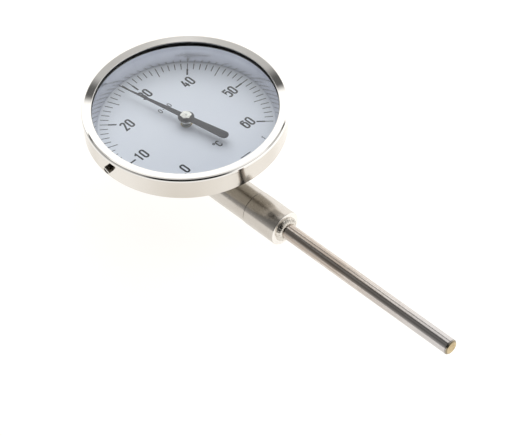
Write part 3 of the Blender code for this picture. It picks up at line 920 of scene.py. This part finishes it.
def make_screw():
    """Adjusting screw: a thin inner end, a thicker neck in the wall and a slotted head."""
    shoulder = CASE_R + 0.15
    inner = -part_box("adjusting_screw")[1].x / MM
    thin_r, neck_r, neck_start = 0.55, 0.8, 47.9
    profile = [
        (0, inner, 0),
        (thin_r, inner, 0.05),
        (thin_r, neck_start, 0),
        (neck_r, neck_start, 0.05),
        (neck_r, shoulder, 0),
        (HEAD_R, shoulder, 0.12),
        (HEAD_R, HEAD_END, 0.3),
        (0, HEAD_END, 0),
    ]
    bm = lathe(rounded(profile, 5), screw_place, SMALL_STEPS)
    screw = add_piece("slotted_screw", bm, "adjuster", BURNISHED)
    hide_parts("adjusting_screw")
    half, reach = SLOT_W / 2, 3
    depth = (HEAD_END - SLOT_DEPTH, HEAD_END + 1)

    def slot_place(x, y, side):
        up, across = turned(x, y, math.radians(SLOT_TILT))
        return SCREW_AXIS + Vector((-depth[side], across, up)) * MM

    slot = prism([(-half, -reach), (half, -reach), (half, reach), (-half, reach)], slot_place)
    combine(screw, slot, "DIFFERENCE", BRIGHT_CUT)


# ---------------------------------------------------------------- elbow, neck and stem


def neck_line(s):
    """Point and direction on the neck's centre line. s is zero where the bend starts."""
    drop = BEND_R * math.pi / 2
    turn = min(max(s / BEND_R, 0.0), math.pi / 2)
    y = DIAL_AXIS.y / MM - BEND_R + BEND_R * math.cos(turn) - max(s - drop, 0.0)
    z = BEND_R - BEND_R * math.sin(turn) - min(s, 0.0)
    return Vector((0, y, z)), Vector((0, -math.sin(turn), -math.cos(turn)))


def bridge(bm, rings):
    """Joins closed rings of vertices, and the last ring to the first."""
    for first, second in zip(rings, rings[1:] + rings[:1]):
        for i in range(len(first)):
            after = (i + 1) % len(first)
            bm.faces.new((first[i], first[after], second[after], second[i]))


def make_elbow():
    """Bent tube with a flange against the case back, a threaded end in it and a counterbore below."""
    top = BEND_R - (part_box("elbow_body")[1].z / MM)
    drop = BEND_R * math.pi / 2
    ahead = drop + DIAL_AXIS.y / MM - BEND_R
    flange = BEND_R - DIAL_AXIS.z / MM - (CASE_BACK - 0.8)
    shoulder = flange + 2.0
    joint = ahead + SEAM - 0.3
    end = ahead - 12.0
    bore, counterbore, nozzle = 4.6, 6.0, 3.2
    corners = [
        (5.5, top, 0.3),
        (5.5, flange, 0.05),
        (12.5, flange, 0.35),
        (12.5, shoulder, 0.35),
        (ELBOW_R, shoulder, 0.8),
    ]
    bend = [drop * i / 24 for i in range(25)]
    profile = rounded(corners, 5) + [(ELBOW_R, s) for s in bend]
    profile += [(ELBOW_R, joint - 0.25), (ELBOW_R - 0.08, joint - 0.07), (ELBOW_R - 0.25, joint)]
    profile += [(counterbore, joint), (counterbore, end), (bore, end)]
    profile += [(bore, s) for s in reversed(bend)]
    profile += [(bore, flange + 4.4), (nozzle, flange + 4.4), (nozzle, top)]
    turns = [FULL_TURN * i / TUBE_STEPS for i in range(TUBE_STEPS)]
    bm = bmesh.new()
    rings = []
    for radius, s in profile:
        centre, direction = neck_line(s)
        up = direction.cross(X)
        outward = [math.cos(a) * X + math.sin(a) * up for a in turns]
        rings.append([bm.verts.new((centre + radius * out) * MM) for out in outward])
    bridge(bm, rings)
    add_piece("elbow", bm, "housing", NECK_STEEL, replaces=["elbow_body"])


def make_neck():
    """Turned sleeve, open at the elbow's end."""
    bore, socket_r, socket_end = 4.3, 6.3, -10.2
    corners = [
        (bore, 0.0, 0.1),
        (NECK_R, 0.0, 0.45),
        (NECK_R, SEAM, 0.22),
        (socket_r, SEAM, 0.1),
        (socket_r, socket_end, 0.1),
        (bore, socket_end, 0.1),
    ]
    bm = lathe(rounded(corners, 6), stem_place, 128)
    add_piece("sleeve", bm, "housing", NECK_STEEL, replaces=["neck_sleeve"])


def make_weld():
    """Fillet bead laid in overlapping ripples round the stem."""
    ripples, steps, rows = 26, 416, 16
    inner, width, rise, lift = STEM_R + 0.04, 2.5, 2.2, 0.02
    ripple, sweep, fullness = 0.16, 2.2, 1.15
    bm = bmesh.new()
    turns = [FULL_TURN * i / steps for i in range(steps)]
    rings = []
    for row in range(rows + 1):
        t = row / rows
        swing = t * math.pi / 2
        fade = math.sin(math.pi * min(max(t, 0.04), 0.96))
        ring = []
        for angle in turns:
            phase = (angle * ripples / FULL_TURN + sweep * (t - 0.5) ** 2) % 1.0
            swell = ripple * (phase**0.6 - 0.5) * fade
            uneven = 0.10 * math.sin(3 * angle + 0.7) + 0.06 * math.sin(7 * angle)
            radius = inner + (width + uneven) * math.cos(swing) ** fullness + swell * math.cos(swing)
            height = (rise + uneven) * math.sin(swing) ** fullness + swell * math.sin(swing)
            ring.append(bm.verts.new(stem_place(max(radius, inner), angle, lift + max(height, 0.0))))
        rings.append(ring)
    for height in (lift + rise / 2, lift):
        rings.append([bm.verts.new(stem_place(inner - 0.02, angle, height)) for angle in turns])
    bridge(bm, rings)
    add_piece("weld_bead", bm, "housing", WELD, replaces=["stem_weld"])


def make_stem():
    """Thin tube, in short lengths so that its shading stays even."""
    top, end, wall = -9.5, STEM_END - TIP_LENGTH, 0.5
    tube = [
        (STEM_R - wall, top, 0.05),
        (STEM_R, top, 0.1),
        (STEM_R, end, 0.12),
        (STEM_R - wall, end, 0.05),
    ]
    profile = rounded(tube, 4)
    outside = next(i for i, point in enumerate(profile) if abs(point[0] - STEM_R) < 1e-6) + 1
    lengths = 60
    stretch = end - top - 0.4
    profile[outside:outside] = [(STEM_R, top + 0.2 + stretch * i / lengths) for i in range(lengths + 1)]
    bm = lathe(profile, stem_place, TUBE_STEPS)
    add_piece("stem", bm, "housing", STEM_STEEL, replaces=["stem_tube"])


def make_plug():
    """Plug that closes the tube: a shank inside it and a rounded face with a fine groove."""
    seat = STEM_END - TIP_LENGTH
    shank_r, head_r, groove_r = STEM_R - 0.65, STEM_R - 0.02, STEM_R - 2.4
    floor = STEM_END - 0.1
    tip = [
        (0, seat - 3.0, 0),
        (shank_r, seat - 3.0, 0.1),
        (shank_r, seat + 0.12, 0.05),
        (head_r, seat + 0.12, 0.12),
        (head_r, STEM_END - 0.75, 0.3),
        (STEM_R - 0.75, STEM_END, 0.35),
        (groove_r + 0.5, STEM_END, 0.1),
        (groove_r + 0.35, floor, 0.1),
        (groove_r + 0.15, floor, 0.1),
        (groove_r, STEM_END, 0.1),
        (0, STEM_END, 0),
    ]
    bm = lathe(rounded(tip, 5), stem_place, TUBE_STEPS)
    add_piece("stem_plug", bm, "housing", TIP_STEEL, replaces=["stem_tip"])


# ---------------------------------------------------------------- stage


# The studio's brightness at each elevation in degrees, on its bright side and on its dark side.
BRIGHT_STOPS = [
    (-5, 1.33),
    (5, 1.36),
    (44.4, 1.38),
    (46, 0.12),
    (47.2, 0.12),
    (49.5, 0.58),
    (54.8, 0.66),
    (57.5, 1.15),
    (66, 1.1),
    (76, 0.4),
    (90, 0.05),
]
DARK_STOPS = [
    (-5, 0.5),
    (4, 0.45),
    (14, 0.34),
    (24, 0.23),
    (39, 0.15),
    (50, 0.24),
    (62, 0.14),
    (78, 0.06),
    (90, 0.04),
]
BRIGHT_SIDE = 38.0
DIM_SIDE = -132.0
LIGHTER_SIDE = -50.0


def heading(azimuth, elevation):
    a, e = math.radians(azimuth), math.radians(elevation)
    return Vector((math.cos(a) * math.cos(e), math.sin(a) * math.cos(e), math.sin(e)))


def make_world():
    """Studio that the metal mirrors: a wide bright screen on one side, and dark elsewhere."""
    world = bpy.data.worlds.new("studio")
    bpy.context.scene.world = world
    world.use_nodes = True
    tree = world.node_tree
    tree.nodes.clear()

    def node(kind, **settings):
        made = tree.nodes.new(kind)
        for key, value in settings.items():
            setattr(made, key, value)
        return made

    def ranged(source, low, high, out_low, out_high):
        made = node("ShaderNodeMapRange", interpolation_type="SMOOTHSTEP")
        tree.links.new(source, made.inputs["Value"])
        for key, number in zip(RANGE_SOCKETS, (low, high, out_low, out_high)):
            made.inputs[key].default_value = number
        return made.outputs["Result"]

    def maths(operation, first, second=0.0):
        made = node("ShaderNodeMath", operation=operation)
        for socket, value in zip(made.inputs, (first, second)):
            if isinstance(value, bpy.types.NodeSocket):
                tree.links.new(value, socket)
            else:
                socket.default_value = value
        return made.outputs[0]

    def curve(source, stops):
        """Brightness along elevation, from (degrees, brightness) stops, as a chain of ramps."""
        total = None
        for (low, before), (high, after) in zip(stops, stops[1:]):
            step = ranged(source, math.radians(low), math.radians(high), 0.0, after - before)
            total = step if total is None else maths("ADD", total, step)
        return maths("ADD", total, stops[0][1])

    toward = node("ShaderNodeTexCoord").outputs["Generated"]
    parts = node("ShaderNodeSeparateXYZ")
    tree.links.new(toward, parts.inputs[0])
    elevation = maths("ARCSINE", parts.outputs["Z"])

    def facing(azimuth):
        dot = node("ShaderNodeVectorMath", operation="DOT_PRODUCT")
        tree.links.new(toward, dot.inputs[0])
        dot.inputs[1].default_value = heading(azimuth, 0)
        level = maths("MAXIMUM", maths("COSINE", elevation), 0.001)
        return maths("DIVIDE", dot.outputs["Value"], level)

    bright = curve(elevation, BRIGHT_STOPS)
    dark = curve(elevation, DARK_STOPS)
    side = ranged(facing(BRIGHT_SIDE), 0.38, 0.58, 0.0, 1.0)
    dark = maths("MULTIPLY", dark, ranged(facing(DIM_SIDE), 0.66, 0.86, 1.0, 0.07))
    dark = maths("MULTIPLY", dark, ranged(facing(LIGHTER_SIDE), 0.45, 0.80, 1.0, 2.6))
    rest = maths("MULTIPLY", dark, maths("SUBTRACT", 1.0, side))
    blend = maths("ADD", maths("MULTIPLY", bright, side), rest)
    shader = node("ShaderNodeBackground")
    shader.inputs["Color"].default_value = (1.0, 0.99, 0.97, 1.0)
    tree.links.new(blend, shader.inputs["Strength"])
    output = node("ShaderNodeOutputWorld")
    tree.links.new(shader.outputs[0], output.inputs["Surface"])


def make_lamp():
    """Large soft lamp high behind the dial. The metal doesn't mirror it."""
    lamp = bpy.data.lights.new("soft_lamp", "AREA")
    lamp.shape = "DISK"
    lamp.size = 2.0
    lamp.energy = 12.0
    lamp.color = (0.96, 0.98, 1.0)
    holder = bpy.data.objects.new("soft_lamp", lamp)
    holder.visible_glossy = False
    way = heading(52.0, 62.0)
    turn = (-way).to_track_quat("-Z", "Y")
    distance = 1.2
    holder.matrix_world = Matrix.Translation(DIAL_AXIS + way * distance) @ turn.to_matrix().to_4x4()
    bpy.context.scene.collection.objects.link(holder)


def make_floor():
    """Dull table that glows: more towards the stem's side, and less far behind the dial."""
    low = CAD_BOX[0][2]
    half = 3.0
    bm = bmesh.new()
    corners = [(-half, -half), (half, -half), (half, half), (-half, half)]
    bm.faces.new([bm.verts.new((x, y, low)) for x, y in corners])
    tree = Tree("floor_pale")
    cloud = tree.noise(tree.place(), 4.0, 3.0)
    tree.set(Base_Color=tree.mix(cloud, (0.16, 0.16, 0.16), (0.14, 0.14, 0.14)), Roughness=0.9)
    x, y = tree.part(tree.place(), "X"), tree.part(tree.place(), "Y")
    across = tree.add(tree.times(x, 0.75), tree.times(y, -0.25))
    glow = tree.spread(across, -0.06, 0.16, 0.93, 1.22)
    aside = tree.add(tree.times(x, -0.707), tree.times(y, 0.707))
    far = tree.spread(aside, 0.20, 0.40, 0.0, -0.45)
    tree.shader.inputs["Emission Color"].default_value = (1.0, 0.985, 0.955, 1.0)
    tree.link(tree.add(glow, far), tree.shader.inputs["Emission Strength"])
    mesh = bpy.data.meshes.new("floor")
    bm.to_mesh(mesh)
    bm.free()
    mesh.materials.append(tree.material)
    floor = bpy.data.objects.new("floor", mesh)
    bpy.context.scene.collection.objects.link(floor)


def make_camera():
    """A long lens that looks down on the dial from in front of its 7 o'clock, tipped slightly."""
    aim = Vector((-3.52216, 14.12587, 0.0)) * MM
    distance = 1.08789
    roll = math.radians(-1.78989)
    ahead = heading(46.325, -47.0541)
    level = ahead.cross(Z).normalized()
    right = level * math.cos(roll) + level.cross(ahead) * math.sin(roll)
    up = right.cross(ahead)
    camera = bpy.data.cameras.new("camera")
    camera.lens = 154.76
    camera.sensor_width = 36.0
    camera.clip_start = 0.01
    holder = bpy.data.objects.new("camera", camera)
    turn = Matrix((right, up, -ahead)).transposed().to_4x4()
    holder.matrix_world = Matrix.Translation(aim - ahead * distance) @ turn
    bpy.context.scene.collection.objects.link(holder)
    bpy.context.scene.camera = holder


paint_cad_nodes()
make_bezel()
make_case_back()
make_window()
make_cone_ring()
make_dial()
make_print()
make_pointer()
make_nut()
make_collar()
make_screw()
make_elbow()
make_neck()
make_weld()
make_stem()
make_plug()
even_normals()
make_world()
make_lamp()
make_floor()
make_camera()
bpy.context.scene.view_settings.view_transform = "Standard"
